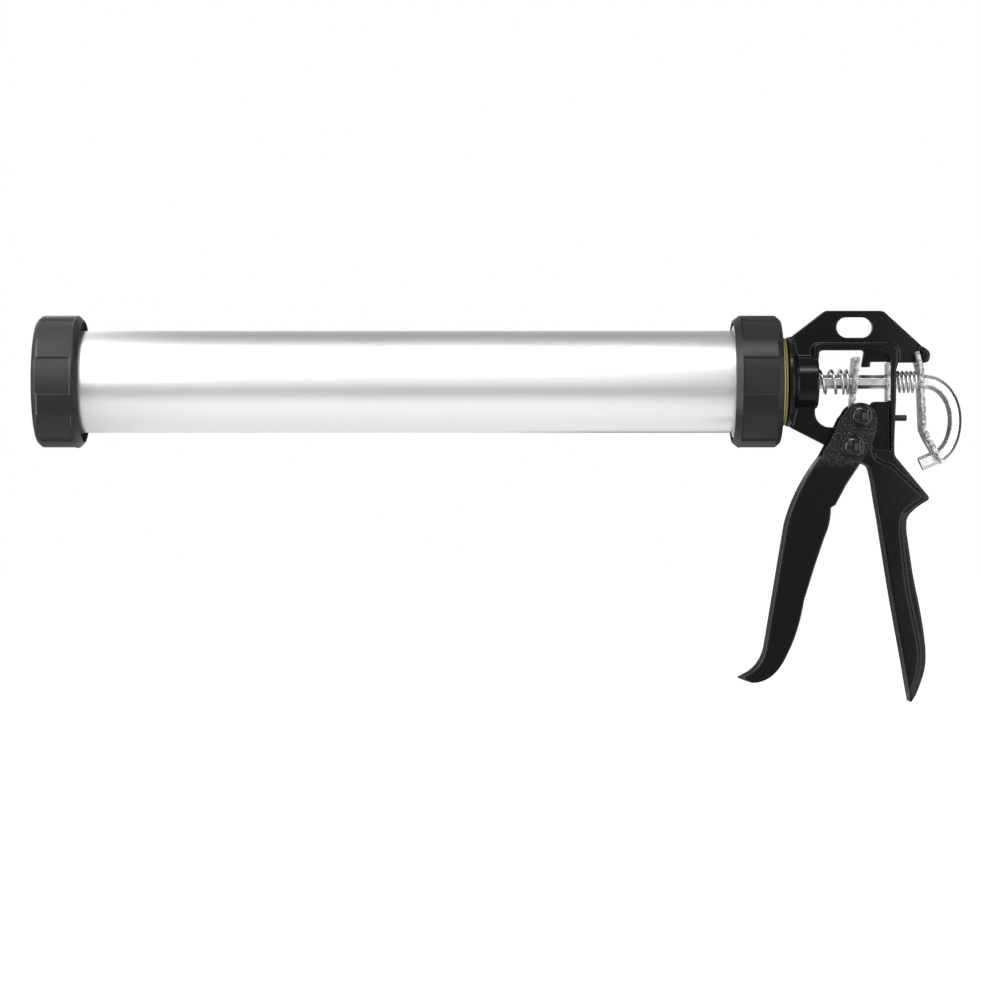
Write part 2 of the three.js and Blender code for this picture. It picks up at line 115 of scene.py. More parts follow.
class Finish(Recipe):
    """A new material. Patterns are laid on Object coordinates, in metres."""

    def __init__(self, name):
        self.material = bpy.data.materials.new(name)
        self.material.use_nodes = True
        super().__init__(self.material.node_tree)
        self.tree.nodes.clear()
        self.place = self.node("ShaderNodeTexCoord", output="Object")

    def grain(self, per_mm, detail=3.0, stretch=(1, 1, 1), rough=0.55):
        """Noise with about per_mm blots to the millimetre, drawn out where stretch is small."""
        laid = self.node("ShaderNodeMapping", None, {"Vector": self.place, "Scale": stretch})
        return self.node("ShaderNodeTexNoise", None, {
            "Vector": laid, "Scale": per_mm / MM, "Detail": detail, "Roughness": rough}, "Fac")

    def cells(self, per_mm, feature="F1"):
        return self.node("ShaderNodeTexVoronoi", {"feature": feature}, {
            "Vector": self.place, "Scale": per_mm / MM}, "Distance")

    def span(self, value, low, high, to_low=0.0, to_high=1.0):
        """value from low..high to to_low..to_high, held at the ends."""
        return self.node("ShaderNodeMapRange", {"interpolation_type": "SMOOTHSTEP"}, {
            "Value": value, "From Min": low, "From Max": high, "To Min": to_low, "To Max": to_high})

    def along(self, axis):
        return self.node("ShaderNodeSeparateXYZ", None, {0: self.place}, axis)

    def tint(self, factor, first, second):
        return self.node("ShaderNodeMix", {"data_type": "RGBA"}, {0: factor, 6: first, 7: second}, 2)

    def relief(self, height, depth_mm, strength=1.0):
        return self.node("ShaderNodeBump", None, {
            "Height": height, "Distance": depth_mm * MM, "Strength": strength}, "Normal")

    def surface(self, **sockets):
        named = {key.replace("_", " "): value for key, value in sockets.items()}
        shader = self.node("ShaderNodeBsdfPrincipled", None, named)
        self.node("ShaderNodeOutputMaterial", None, {"Surface": shader})
        return self.material


def grey(value):
    return (value, value, value, 1.0)


def placed(name, mesh, finish=None):
    piece = bpy.data.objects.new(name, mesh)
    bpy.context.scene.collection.objects.link(piece)
    if finish is not None:
        mesh.materials.clear()
        mesh.materials.append(finish)
    return piece


bench = Finish("bench_pale")
bench_mottle = bench.grain(0.004, 4)
bench_finish = bench.surface(
    Base_Color=bench.tint(bench_mottle, grey(0.34), grey(0.38)), Roughness=bench_mottle * 0.1 + 0.8,
    Specular_IOR_Level=0.05, Emission_Color=grey(1.0), Emission_Strength=0.95)
bench_mesh = bpy.data.meshes.new("bench")
bench_mesh.from_pydata(
    [Vector((across * BENCH_HALF, along * BENCH_HALF, BENCH_Z)) * MM
     for across, along in ((-1, -1), (1, -1), (1, 1), (-1, 1))], [], [(0, 1, 2, 3)])
bench_top = placed("bench", bench_mesh, bench_finish)


# The tent: a graded reflector bent round the barrel's axis, which only reflections meet. Each row gives
# an angle up from straight in front, in degrees, and how bright the tent is there.
TENT_R = 420
TENT_X = (-1500, 1100)
TENT_SIDES = 72
TENT_BY_BARREL = (
    (-180, 0.70), (-140, 0.86), (-100, 0.90), (-74, 0.97), (-52, 1.02), (-42, 0.92), (-33, 0.62),
    (-24, 0.42), (-15, 0.50), (-6, 0.80), (3, 0.98), (14, 1.15), (34, 1.5), (72, 1.5), (82, 1.05),
    (94, 0.62), (106, 0.40), (130, 0.38), (150, 0.55), (180, 0.75))
TENT_BY_HANDLE = (
    (-180, 0.05), (-150, 0.10), (-134, 0.70), (-70, 0.80), (-45, 0.40), (-25, 0.16), (-8, 0.24), (8, 0.24),
    (24, 0.10), (36, 0.35), (44, 1.1), (60, 1.1), (68, 0.30), (90, 0.16), (112, 0.45), (130, 0.45),
    (150, 0.15), (180, 0.05))
TENT_TURNS_OVER_X = (-76, -42)
TENT_FAR_X = (-520, -440)
TENT_FAR_ANGLE = (-8, 12)
TENT_FAR_GLOW = (-0.5, 2.1)
TENT_BEHIND_X = (-230, -140)
TENT_BEHIND_ANGLE = (-155, -145)
TENT_BEHIND_LOSS = 0.9
TENT_LEFT_END_X = (-760, -600)
TENT_RIGHT_END_X = (150, 420)
TENT_END_SHARE = 0.5
HOOK_CARD_X = (62, 92)
HOOK_CARD_FOOT = (-45, -35)
HOOK_CARD_HEAD = (14, 24)
HOOK_CARD_GLOW = 2.2
SIDE_STRIPS = ((-1000, -780, 18), (560, 700, 10))
SIDE_STRIP_EDGE = 60
SIDE_STRIP_Y = (-0.2, 0.0)
STRIP_ANGLE = (50, 57)
STRIP_X = (-250, 20)
STRIP_EDGE = 30
STRIP_GLOW = 14


def graded(finish, degrees, rows):
    stops = [((angle + 180) / 360, (glow / 2, glow / 2, glow / 2, 1)) for angle, glow in rows]
    return finish.node("ShaderNodeValToRGB", {"stops": stops}, {0: (degrees + 180) / 360}) * 2.0


tent = Finish("tent_glow")
tent_x, tent_y, tent_z = (tent.along(axis) / MM for axis in "XYZ")
tent_angle = tent_x.maths("ARCTAN2", tent_z - AXIS_Z, tent_y * -1.0) * (180 / math.pi)
tent_share = tent.span(tent_x, *TENT_TURNS_OVER_X)
tent_far = tent.span(tent_x, *TENT_FAR_X, 1.0, 0.0)
tent_ends = (tent.span(tent_x, *TENT_LEFT_END_X, TENT_END_SHARE, 1.0)
             * tent.span(tent_x, *TENT_RIGHT_END_X, 1.0, TENT_END_SHARE))
tent_left = tent_far * tent.span(tent_angle, *TENT_FAR_ANGLE, *TENT_FAR_GLOW) + 1.0
tent_behind = (tent.span(tent_x, *TENT_BEHIND_X)
               * tent.span(tent_angle, *TENT_BEHIND_ANGLE, TENT_BEHIND_LOSS, 0.0))
tent_hook = (tent.span(tent_x, *HOOK_CARD_X) * tent.span(tent_angle, *HOOK_CARD_FOOT)
             * tent.span(tent_angle, *HOOK_CARD_HEAD, HOOK_CARD_GLOW, 0.0))
tent_shine = (graded(tent, tent_angle, TENT_BY_BARREL) * tent_left * (1 - tent_behind) * (1 - tent_share)
              + graded(tent, tent_angle, TENT_BY_HANDLE) * tent_share + tent_hook) * tent_ends
for strip_from, strip_to, strip_glow in SIDE_STRIPS:
    tent_shine = tent_shine + (tent.span(tent_x, strip_from, strip_from + SIDE_STRIP_EDGE)
                               * tent.span(tent_x, strip_to - SIDE_STRIP_EDGE, strip_to, strip_glow, 0.0)
                               * tent.span(tent_y, *SIDE_STRIP_Y, 1.0, 0.0))
tent_strip = (tent.span(tent_angle, STRIP_ANGLE[0] - 1, STRIP_ANGLE[0])
              * tent.span(tent_angle, STRIP_ANGLE[1], STRIP_ANGLE[1] + 1, 1.0, 0.0)
              * tent.span(tent_x, STRIP_X[0] - STRIP_EDGE, STRIP_X[0])
              * tent.span(tent_x, STRIP_X[1], STRIP_X[1] + STRIP_EDGE, 1.0, 0.0))
tent_finish = tent.surface(
    Base_Color=grey(0.0), Roughness=1.0, Specular_IOR_Level=0.0,
    Emission_Color=tent_shine + tent_strip * STRIP_GLOW, Emission_Strength=1.0)
tent_mesh = bpy.data.meshes.new("tent")
tent_mesh.from_pydata(
    [Vector((x, TENT_R * math.sin(a), AXIS_Z + TENT_R * math.cos(a))) * MM
     for a in (2 * math.pi * k / TENT_SIDES for k in range(TENT_SIDES)) for x in TENT_X], [],
    [(2 * k, 2 * k + 1, (2 * k + 3) % (2 * TENT_SIDES), (2 * k + 2) % (2 * TENT_SIDES))
     for k in range(TENT_SIDES)])
tent_sheet = placed("tent", tent_mesh, tent_finish)
for ray in ("camera", "diffuse", "shadow", "transmission", "volume_scatter"):
    setattr(tent_sheet, "visible_" + ray, False)


LIGHT_AT = Vector((-420, -1180, 1500))
LIGHT_TOWARDS = Vector((-200, 0, 100))
LIGHT_WIDE = 2300
LIGHT_TALL = 700
LIGHT_WATTS = 24
lamp = bpy.data.lights.new("light_front_top", "AREA")
lamp.shape, lamp.size, lamp.size_y = "RECTANGLE", LIGHT_WIDE * MM, LIGHT_TALL * MM
lamp.energy = LIGHT_WATTS
holder = bpy.data.objects.new("light_front_top", lamp)
holder.location = LIGHT_AT * MM
holder.rotation_euler = (LIGHT_TOWARDS - LIGHT_AT).to_track_quat("-Z", "Y").to_euler()
holder.visible_glossy = False
bpy.context.scene.collection.objects.link(holder)

SURROUND_SEEN = 1.0
SURROUND_LIGHT = 0.32
surround = bpy.data.worlds.new("surround")
bpy.context.scene.world = surround
surround.use_nodes = True
surround.node_tree.nodes.clear()
sky = Recipe(surround.node_tree)
seen = sky.node("ShaderNodeLightPath", output="Is Camera Ray")
sky_glow = sky.node("ShaderNodeBackground", None, {
    "Color": grey(1.0), "Strength": seen * (SURROUND_SEEN - SURROUND_LIGHT) + SURROUND_LIGHT})
sky.node("ShaderNodeOutputWorld", None, {"Surface": sky_glow})
bpy.context.scene.view_settings.view_transform = "Standard"

camera = bpy.data.objects.new("camera", bpy.data.cameras.new("camera"))
camera.data.lens = CAMERA_LENS
camera.location = Vector(CAMERA_AT) * MM
camera.rotation_euler = (math.pi / 2, 0, 0)
bpy.context.scene.collection.objects.link(camera)
bpy.context.scene.camera = camera


# ---- Barrel tube ------------------------------------------------------------------------------
# A drawn aluminium tube, satin anodised. The draw marks run its whole length, very fine, and a few
# faint rubs show where sausages and hands have passed. It is bonded into a collar at each end.
TUBE_X = (-455.1, -73.6)
TUBE_R = 27.25
TUBE_WALL = 1.5
TUBE_EDGE = 0.3
CORNER_STEPS = 4


def softened(points):
    """A closed outline from (a, b, round) points, each corner replaced by a short curve of that reach."""
    made = []
    for i, (a, b, *reach) in enumerate(points):
        here = Vector((a, b))
        before, after = Vector(points[i - 1][:2]), Vector(points[(i + 1) % len(points)][:2])
        reach = min(reach[0] if reach else 0, 0.48 * (here - before).length, 0.48 * (here - after).length)
        if reach <= 0:
            made.append((a, b))
            continue
        start = here + (before - here).normalized() * reach
        end = here + (after - here).normalized() * reach
        for k in range(CORNER_STEPS + 1):
            t = k / CORNER_STEPS
            made.append(tuple(start * (1 - t) ** 2 + here * 2 * t * (1 - t) + end * t * t))
    return made


def cleaned(mesh, merge_mm=0.002):
    """Doubles merged and faces pointing outwards."""
    work = bmesh.new()
    work.from_mesh(mesh)
    bmesh.ops.remove_doubles(work, verts=work.verts, dist=merge_mm * MM)
    bmesh.ops.recalc_face_normals(work, faces=work.faces)
    for face in work.faces:
        face.smooth = True
    work.to_mesh(mesh)
    work.free()
    return mesh


def evened(piece):
    """Shading that stays flat on the flats and turns only on the rounded edges."""
    weigh = piece.modifiers.new("even_shading", "WEIGHTED_NORMAL")
    weigh.weight = 100
    weigh.keep_sharp = True
    return piece


def turned(name, profile, finish, facets):
    """A solid turned on the barrel's axis from a closed (x, radius) profile in mm."""
    rows = len(profile)
    points = []
    for j in range(facets):
        angle = 2 * math.pi * j / facets
        points += [Vector((x, r * math.cos(angle), AXIS_Z + r * math.sin(angle))) * MM for x, r in profile]
    faces = [(j * rows + i, j * rows + (i + 1) % rows, (j + 1) % facets * rows + (i + 1) % rows,
              (j + 1) % facets * rows + i)
             for j in range(facets) for i in range(rows)]
    mesh = bpy.data.meshes.new(name)
    mesh.from_pydata(points, [], faces)
    return evened(placed(name, cleaned(mesh), finish))


satin = Finish("satin_aluminium")
draw_marks = satin.grain(2.2, 4, (0.012, 1, 1))
draw_bands = satin.grain(0.25, 2, (0.02, 1, 1))
smears = satin.grain(0.018, 5, (0.5, 1, 1))
specks = satin.span(satin.cells(0.12), 0.015, 0.05, 1.0, 0.0)
satin_finish = satin.surface(
    Base_Color=satin.tint(draw_marks * 0.5 + smears * 0.5, (0.80, 0.81, 0.825, 1), (0.90, 0.905, 0.915, 1)),
    Metallic=1.0,
    Roughness=draw_marks * 0.08 + draw_bands * 0.06 + smears * 0.05 + 0.20 + specks * 0.1,
    Normal=satin.relief(draw_marks + draw_bands * 0.6 - specks, 0.012))
barrel_tube = turned("barrel_tube_drawn", softened([
    (TUBE_X[0], TUBE_R - TUBE_WALL, TUBE_EDGE), (TUBE_X[1], TUBE_R - TUBE_WALL, TUBE_EDGE),
    (TUBE_X[1], TUBE_R, TUBE_EDGE), (TUBE_X[0], TUBE_R, TUBE_EDGE)]), satin_finish, 160)
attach(barrel_tube, "barrel")
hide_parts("barrel_tube")


# ---- Threaded collars -------------------------------------------------------------------------
# Turned aluminium rings bonded on the tube's two ends, with a coarse rounded screw thread of 4 mm
# pitch for the caps. Only the bright edge of the rear one shows, inside the rear cap's mouth.
COLLAR_BORE_R = 27.55
COLLAR_ROOT_R = 30.25
COLLAR_CREST_R = 31.0
THREAD_PITCH = 4.0
RIDGE_WIRE_R = 0.9
RIDGE_INSET = 1.6
RIDGE_STEPS_A_TURN = 64
COLLARS_X = {"front": (-455.1, -442.6), "rear": (-89.4, -74.2)}


class Former(Recipe):
    """A geometry tree whose sizes are named inputs, all in metres or plain numbers."""

    def __init__(self, name, **sizes):
        super().__init__(bpy.data.node_groups.new(name, "GeometryNodeTree"))
        face = self.tree.interface
        face.new_socket("Geometry", in_out="INPUT", socket_type="NodeSocketGeometry")
        for size, value in sizes.items():
            kind = {int: "Int", float: "Float", tuple: "Vector"}[type(value)]
            face.new_socket(size, in_out="INPUT", socket_type="NodeSocket" + kind).default_value = value
        face.new_socket("Finish", in_out="INPUT", socket_type="NodeSocketMaterial")
        face.new_socket("Geometry", in_out="OUTPUT", socket_type="NodeSocketGeometry")
        self.inlet = self.tree.nodes.new("NodeGroupInput")

    def size(self, name):
        return Wire(self, self.inlet.outputs[name])

    def ends_with(self, geometry):
        """Realises what was made, gives it the finish and sends it out."""
        real = self.node("GeometryNodeRealizeInstances", None, {0: geometry})
        painted = self.node("GeometryNodeSetMaterial", None, {
            "Geometry": real, "Material": self.size("Finish")})
        self.node("NodeGroupOutput", None, {0: painted})

    def forms(self, name, finish, start=None, **sizes):
        """Runs the tree on a start mesh and returns a plain mesh piece."""
        piece = placed(name, start or bpy.data.meshes.new(name))
        modifier = piece.modifiers.new("form", "NODES")
        modifier.node_group = self.tree
        for socket in self.tree.interface.items_tree:
            if socket.in_out == "INPUT" and socket.name in sizes:
                modifier[socket.identifier] = sizes[socket.name]
            elif socket.in_out == "INPUT" and socket.name == "Finish":
                modifier[socket.identifier] = finish
        bpy.context.view_layer.update()
        depsgraph = bpy.context.evaluated_depsgraph_get()
        formed = bpy.data.meshes.new_from_object(piece.evaluated_get(depsgraph), depsgraph=depsgraph)
        piece.modifiers.remove(modifier)
        piece.data = cleaned(formed)
        return piece


coil = Former("coil", Start=0.0, End=0.01, Radius=0.01, Turns=4.0, Closing=1.0, Wire=0.001,
              Wire_Sides=10, Steps=200, Axis_Height=AXIS_Z * MM)
coil_line = coil.node("GeometryNodeCurvePrimitiveLine", None, {"Start": (0, 0, 0), "End": (1, 0, 0)})
coil_line = coil.node("GeometryNodeResampleCurve", None, {"Curve": coil_line, "Count": coil.size("Steps")})
share = coil.node("GeometryNodeSplineParameter", output="Factor")
turn = share * coil.size("Turns") * (2 * math.pi)
wound = 1 - (1 - share) ** coil.size("Closing")
coil_point = coil.node("ShaderNodeCombineXYZ", None, {
    0: wound * (coil.size("End") - coil.size("Start")) + coil.size("Start"),
    1: turn.maths("COSINE", turn) * coil.size("Radius"),
    2: turn.maths("SINE", turn) * coil.size("Radius") + coil.size("Axis_Height")})
coil_line = coil.node("GeometryNodeSetPosition", None, {"Geometry": coil_line, "Position": coil_point})
wire_ring = coil.node("GeometryNodeCurvePrimitiveCircle", None, {
    "Resolution": coil.size("Wire_Sides"), "Radius": coil.size("Wire")})
coil.ends_with(coil.node("GeometryNodeCurveToMesh", None, {
    "Curve": coil_line, "Profile Curve": wire_ring, "Fill Caps": True}))


def joined(name, *pieces):
    """Several pieces made one."""
    work = bmesh.new()
    for piece in pieces:
        work.from_mesh(piece.data)
    mesh = pieces[0].data.copy()
    work.to_mesh(mesh)
    work.free()
    for piece in pieces:
        bpy.data.objects.remove(piece)
    return evened(placed(name, mesh))


for end, (x0, x1) in COLLARS_X.items():
    blank = turned(end + "_collar_blank", softened([
        (x0, COLLAR_BORE_R, 0.3), (x1, COLLAR_BORE_R, 0.3), (x1, COLLAR_ROOT_R, 0.7),
        (x0, COLLAR_ROOT_R, 0.7)]), satin_finish, 128)
    turns = (x1 - x0 - 2 * RIDGE_INSET) / THREAD_PITCH
    ridge = coil.forms(end + "_collar_ridge", satin_finish, Start=(x0 + RIDGE_INSET) * MM,
                       End=(x1 - RIDGE_INSET) * MM, Radius=(COLLAR_CREST_R - RIDGE_WIRE_R) * MM,
                       Turns=turns, Wire=RIDGE_WIRE_R * MM, Wire_Sides=8,
                       Steps=int(turns * RIDGE_STEPS_A_TURN))
    collar = joined(end + "_collar_threaded", blank, ridge)
    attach(collar, "barrel")
    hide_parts(end + "_thread_collar")


# ---- Screw caps -------------------------------------------------------------------------------
# Injection-moulded black nylon caps with a fine matt grain. Seven shallow grip panels are sunk round
# each, open at the cap's outer end, and the raised ribs between them are narrower than the panels.
CAP_R = 35.4
CAP_EDGE_R = 32.7
CAP_BORE_R = 31.6
CAP_WALL = 3.6
PANEL_COUNT = 7
PANEL_HALF = math.radians(16)
PANEL_DEPTH = 0.9
PANEL_STEP = math.radians(0.55)
PANEL_PHASE = math.radians(3.5)
PANEL_END_STEP = 0.3
PANEL_COLUMNS = 7
RIB_COLUMNS = 5
NOZZLE_MOUTH_R = 20
SPIGOT_HOLE_R = 11.1

nylon = Finish("cap_nylon")
nylon_grain = nylon.grain(3.5, 3)
nylon_cloud = nylon.grain(0.05, 3)
nylon_panel = nylon.node("ShaderNodeAttribute", {"attribute_name": "panel"}, output="Fac")
# Painted shadow: a thin dark line is painted into the colour along each grip panel's edge, where the step
# down into the panel would lie in shade.
nylon_edge_painted_shadow = nylon_panel * (1 - nylon_panel) * 4
nylon_rib = nylon.tint(nylon_cloud * 0.6 + nylon_grain * 0.4, grey(0.007), grey(0.011))
nylon_sunk = nylon.tint(nylon_cloud * 0.6 + nylon_grain * 0.4, grey(0.010), grey(0.016))
nylon_colour = nylon.tint(nylon_panel, nylon_rib, nylon_sunk)
nylon_finish = nylon.surface(
    Base_Color=nylon.tint(nylon_edge_painted_shadow * 0.85, nylon_colour, grey(0.006)),
    Roughness=nylon_grain * 0.10 + nylon_cloud * 0.08 + nylon_panel * 0.04 + 0.30,
    Specular_IOR_Level=0.3,
    Normal=nylon.relief(nylon_grain, 0.03, 0.7))

round_copies = Former("copies_round_an_axis", Count=PANEL_COUNT, Step=(0.0, 0.0, 0.0),
                      First=(0.0, 0.0, 0.0), Centre=(0.0, 0.0, 0.0))
stations = round_copies.node("GeometryNodePoints", None, {
    "Count": round_copies.size("Count"), "Position": round_copies.size("Centre")})
station = round_copies.node("GeometryNodeInputIndex")
swing = round_copies.node("ShaderNodeVectorMath", {"operation": "SCALE"}, {
    0: round_copies.size("Step"), "Scale": station})
swing = round_copies.node("ShaderNodeVectorMath", {"operation": "ADD"}, {
    0: swing, 1: round_copies.size("First")})
copies = round_copies.node("GeometryNodeInstanceOnPoints", None, {
    "Points": stations, "Instance": round_copies.size("Geometry"), "Rotation": swing})
round_copies.ends_with(copies)


def eased(value, low, high):
    t = min(1.0, max(0.0, (value - low) / (high - low)))
    return t * t * (3 - 2 * t)


def cap_sector(name, profile, sunk):
    """One seventh of a cap about the X axis: its wall, with a panel sunk in the middle of the outside."""
    half_pitch = math.pi / PANEL_COUNT
    angles = [k * (PANEL_HALF - PANEL_STEP) / PANEL_COLUMNS for k in range(PANEL_COLUMNS + 1)]
    angles += [PANEL_HALF + k * PANEL_STEP / 2 for k in (-1, 0, 1, 2)]
    angles += [PANEL_HALF + PANEL_STEP + k * (half_pitch - PANEL_HALF - PANEL_STEP) / RIB_COLUMNS
               for k in range(1, RIB_COLUMNS + 1)]
    angles = [-a for a in reversed(angles[1:])] + angles
    floor_r = CAP_R - PANEL_DEPTH
    points, depths = [], []
    for angle in angles:
        depth = 1 - eased(abs(angle), PANEL_HALF - PANEL_STEP, PANEL_HALF + PANEL_STEP)
        for x, r in profile:
            cut = r - depth * sunk(x) * max(0.0, r - floor_r)
            points.append(Vector((x, -cut * math.cos(angle), cut * math.sin(angle))) * MM)
            depths.append(depth * sunk(x) if r > floor_r - 2 else 0.0)
    rows = len(profile)
    faces = [(j * rows + i, j * rows + (i + 1) % rows, (j + 1) * rows + (i + 1) % rows, (j + 1) * rows + i)
             for j in range(len(angles) - 1) for i in range(rows)]
    mesh = bpy.data.meshes.new(name)
    mesh.from_pydata(points, [], faces)
    mesh.attributes.new("panel", "FLOAT", "POINT").data.foreach_set("value", depths)
    return mesh


def screw_cap(name, profile, sunk, body, node):
    sector = cap_sector(name + "_sector", profile, sunk)
    cap = round_copies.forms(name, nylon_finish, sector, Count=PANEL_COUNT,
                             Step=(-2 * math.pi / PANEL_COUNT, 0, 0), First=(-PANEL_PHASE, 0, 0),
                             Centre=(0, 0, AXIS_Z * MM))
    evened(cap)
    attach(cap, body)
    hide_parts(node)


front_x0, front_x1 = -460.9, -436.3
front_panel_end = front_x1 - 4.3
front_profile = softened([
    (front_x0, NOZZLE_MOUTH_R, 0.8), (front_x0, CAP_EDGE_R, 0.9), (front_x0 + 2.9, CAP_R, 1.1),
    (front_panel_end - PANEL_END_STEP, CAP_R), (front_panel_end, CAP_R),
    (front_panel_end + PANEL_END_STEP, CAP_R),
    (front_x1 - 2.6, CAP_R, 0.8), (front_x1, CAP_EDGE_R, 0.5), (front_x1, CAP_BORE_R + 0.6, 0.3),
    (front_x1 - 3, CAP_BORE_R + 0.6), (front_x1 - 3.6, CAP_BORE_R), (front_x0 + CAP_WALL, CAP_BORE_R, 0.6),
    (front_x0 + CAP_WALL, NOZZLE_MOUTH_R, 0.4)])
screw_cap("front_screw_cap", front_profile,
          lambda x: 1 - eased(x, front_panel_end - PANEL_END_STEP, front_panel_end + PANEL_END_STEP),
          "front_cap", "front_cap")

rear_x0, rear_x1 = -89.9, -64.4
rear_panel_start = rear_x0 + 3.7
rear_profile = softened([
    (rear_x0, CAP_BORE_R, 0.4), (rear_x0, CAP_EDGE_R, 0.6), (rear_x0 + 3.6, CAP_R, 0.9),
    (rear_panel_start, CAP_R), (rear_panel_start + PANEL_END_STEP, CAP_R),
    (rear_panel_start + 2 * PANEL_END_STEP, CAP_R),
    (rear_x1 - 3, CAP_R, 0.5), (rear_x1, CAP_EDGE_R, 0.7), (rear_x1, SPIGOT_HOLE_R, 0.5),
    (rear_x1 - CAP_WALL, SPIGOT_HOLE_R, 0.5), (rear_x1 - CAP_WALL, CAP_BORE_R, 0.6)])
screw_cap("rear_screw_cap", rear_profile,
          lambda x: eased(x, rear_panel_start, rear_panel_start + 2 * PANEL_END_STEP), "barrel", "rear_cap")


# ---- Swivel washers ---------------------------------------------------------------------------
# Three hard washers of olive-yellow acetal. Two lie between the rear cap and the frame's flange and
# one lies behind the spigot nut inside the cap, so that the barrel turns freely without play.
def washer_finish(name, dark, light):
    acetal = Finish(name)
    fibres = acetal.grain(1.2, 4, (1, 0.4, 0.4))
    clouds = acetal.grain(0.08, 3)
    return acetal.surface(
        Base_Color=acetal.tint(fibres * 0.5 + clouds * 0.5, dark, light),
        Roughness=fibres * 0.2 + 0.42, Normal=acetal.relief(fibres, 0.03, 0.6))


# Painted light: one olive-yellow acetal in two copies, a lighter one painted as if lit for the front washer
# and a darker one painted as if in shade for the rear and inner washers.
acetal_painted_lit = washer_finish("washer_yellow_pale", (0.46, 0.41, 0.13, 1), (0.66, 0.60, 0.25, 1))
acetal_painted_shade = washer_finish("washer_yellow_deep", (0.24, 0.21, 0.05, 1), (0.38, 0.34, 0.10, 1))
for node, body, acetal_finish, x0, x1, outer in (
        ("swivel_washer_front", "barrel", acetal_painted_lit, -64.1, -63.0, 23.4),
        ("swivel_washer_rear", "frame", acetal_painted_shade, -62.7, -61.7, 23.4),
        ("swivel_washer_inner", "barrel", acetal_painted_shade, -70.1, -68.3, 20)):
    washer = turned(node + "_acetal", softened([
        (x0, SPIGOT_HOLE_R, 0.2), (x1, SPIGOT_HOLE_R, 0.2), (x1, outer, 0.3), (x0, outer, 0.3)]),
        acetal_finish, 96)
    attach(washer, body)
    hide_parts(node)


# ---- Frame ------------------------------------------------------------------------------------
# One die casting, enamelled gloss black: flange and spring boss, head plate with its hang slot and
# window, the column, the flat-sided grip. Its edges are all rounded and the enamel lies thick.
FLAT_ANGLE = math.radians(0.5)
SHARE_KEPT = 0.5


def merged_copy(node):
    """A CAD solid's mesh with its loose triangles merged and its flats made whole."""
    work = bmesh.new()
    work.from_mesh(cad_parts[node].data)
    bmesh.ops.remove_doubles(work, verts=work.verts, dist=0.001 * MM)
    bmesh.ops.dissolve_limit(work, angle_limit=FLAT_ANGLE, verts=work.verts, edges=work.edges)
    mesh = bpy.data.meshes.new(node + "_copy")
    work.to_mesh(mesh)
    work.free()
    return mesh


def rounded_over(name, mesh, finish, grid_mm, passes):
    """A solid re-laid on a fine grid, its edges worn round, then thinned where it is flat."""
    piece = placed(name, mesh)
    relaid = piece.modifiers.new("grid", "REMESH")
    relaid.mode, relaid.voxel_size = "VOXEL", grid_mm * MM
    worn = piece.modifiers.new("wear", "SMOOTH")
    worn.factor, worn.iterations = 0.5, passes
    thinned = piece.modifiers.new("thin", "DECIMATE")
    thinned.ratio = SHARE_KEPT
    depsgraph = bpy.context.evaluated_depsgraph_get()
    made = bpy.data.meshes.new_from_object(piece.evaluated_get(depsgraph), depsgraph=depsgraph)
    bpy.data.objects.remove(piece)
    return evened(placed(name, cleaned(made, 0.0005), finish))


enamel = Finish("frame_enamel")
enamel_peel = enamel.grain(0.45, 2)
enamel_fine = enamel.grain(3.0, 2)
enamel_cloud = enamel.grain(0.04, 3)
enamel_finish = enamel.surface(
    Base_Color=enamel.tint(enamel_cloud, grey(0.003), grey(0.006)),
    Roughness=enamel_fine * 0.06 + enamel_cloud * 0.08 + 0.13, Specular_IOR_Level=0.25,
    Normal=enamel.relief(enamel_fine * 0.15 + enamel_peel, 0.04, 0.7))

frame_piece = rounded_over("frame_enamelled", merged_copy("frame_casting"), enamel_finish, 0.5, 7)
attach(frame_piece, "frame")
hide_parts("frame_casting")


# ---- Small steel in the frame ------------------------------------------------------------------
# The guide plate that lines the column, the stop peg driven into the column, and the hexagon nut that
# holds the spigot in the rear cap. Plain turned or sheared steel with broken edges.
BREAK_ANGLE = math.radians(28)


def broken_edges(name, mesh, finish, reach_mm):
    """A solid with its sharp edges taken off."""
    piece = placed(name, cleaned(mesh), finish)
    edges = piece.modifiers.new("edges", "BEVEL")
    edges.width, edges.segments, edges.limit_method = reach_mm * MM, 3, "ANGLE"
    edges.angle_limit = BREAK_ANGLE
    return evened(piece)


zinc = Finish("zinc_plate")
zinc_mottle = zinc.grain(0.55, 5, rough=0.65)
zinc_fine = zinc.grain(5.0, 3)
zinc_pits = zinc.span(zinc.cells(1.3), 0.05, 0.22, 1.0, 0.0)
zinc_finish = zinc.surface(
    Base_Color=zinc.tint(zinc.span(zinc_mottle, 0.40, 0.60), (0.20, 0.20, 0.21, 1), (0.66, 0.66, 0.65, 1)),
    Metallic=1.0, Roughness=zinc_mottle * 0.2 + zinc_fine * 0.1 + 0.22,
    Normal=zinc.relief(zinc_fine * 0.2 + zinc_mottle - zinc_pits * 0.4, 0.045, 0.7))

black_steel = Finish("black_steel")
black_steel_fine = black_steel.grain(2.5, 3)
black_steel_finish = black_steel.surface(
    Base_Color=black_steel.tint(black_steel_fine, grey(0.007), grey(0.016)),
    Roughness=black_steel_fine * 0.14 + 0.2, Normal=black_steel.relief(black_steel_fine, 0.02, 0.6))

for node, steel_finish, steel_slot, body, reach in (
        ("rod_guide_plate", zinc_finish, "zinc_steel", "frame", 0.3),
        ("stop_peg", black_steel_finish, "black_steel", "frame", 0.25),
        ("spigot_nut", zinc_finish, "zinc_steel", "frame", 0.5)):
    steel = broken_edges(node + "_steel", merged_copy(node), steel_finish, reach)
    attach(steel, body)
    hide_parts(node)


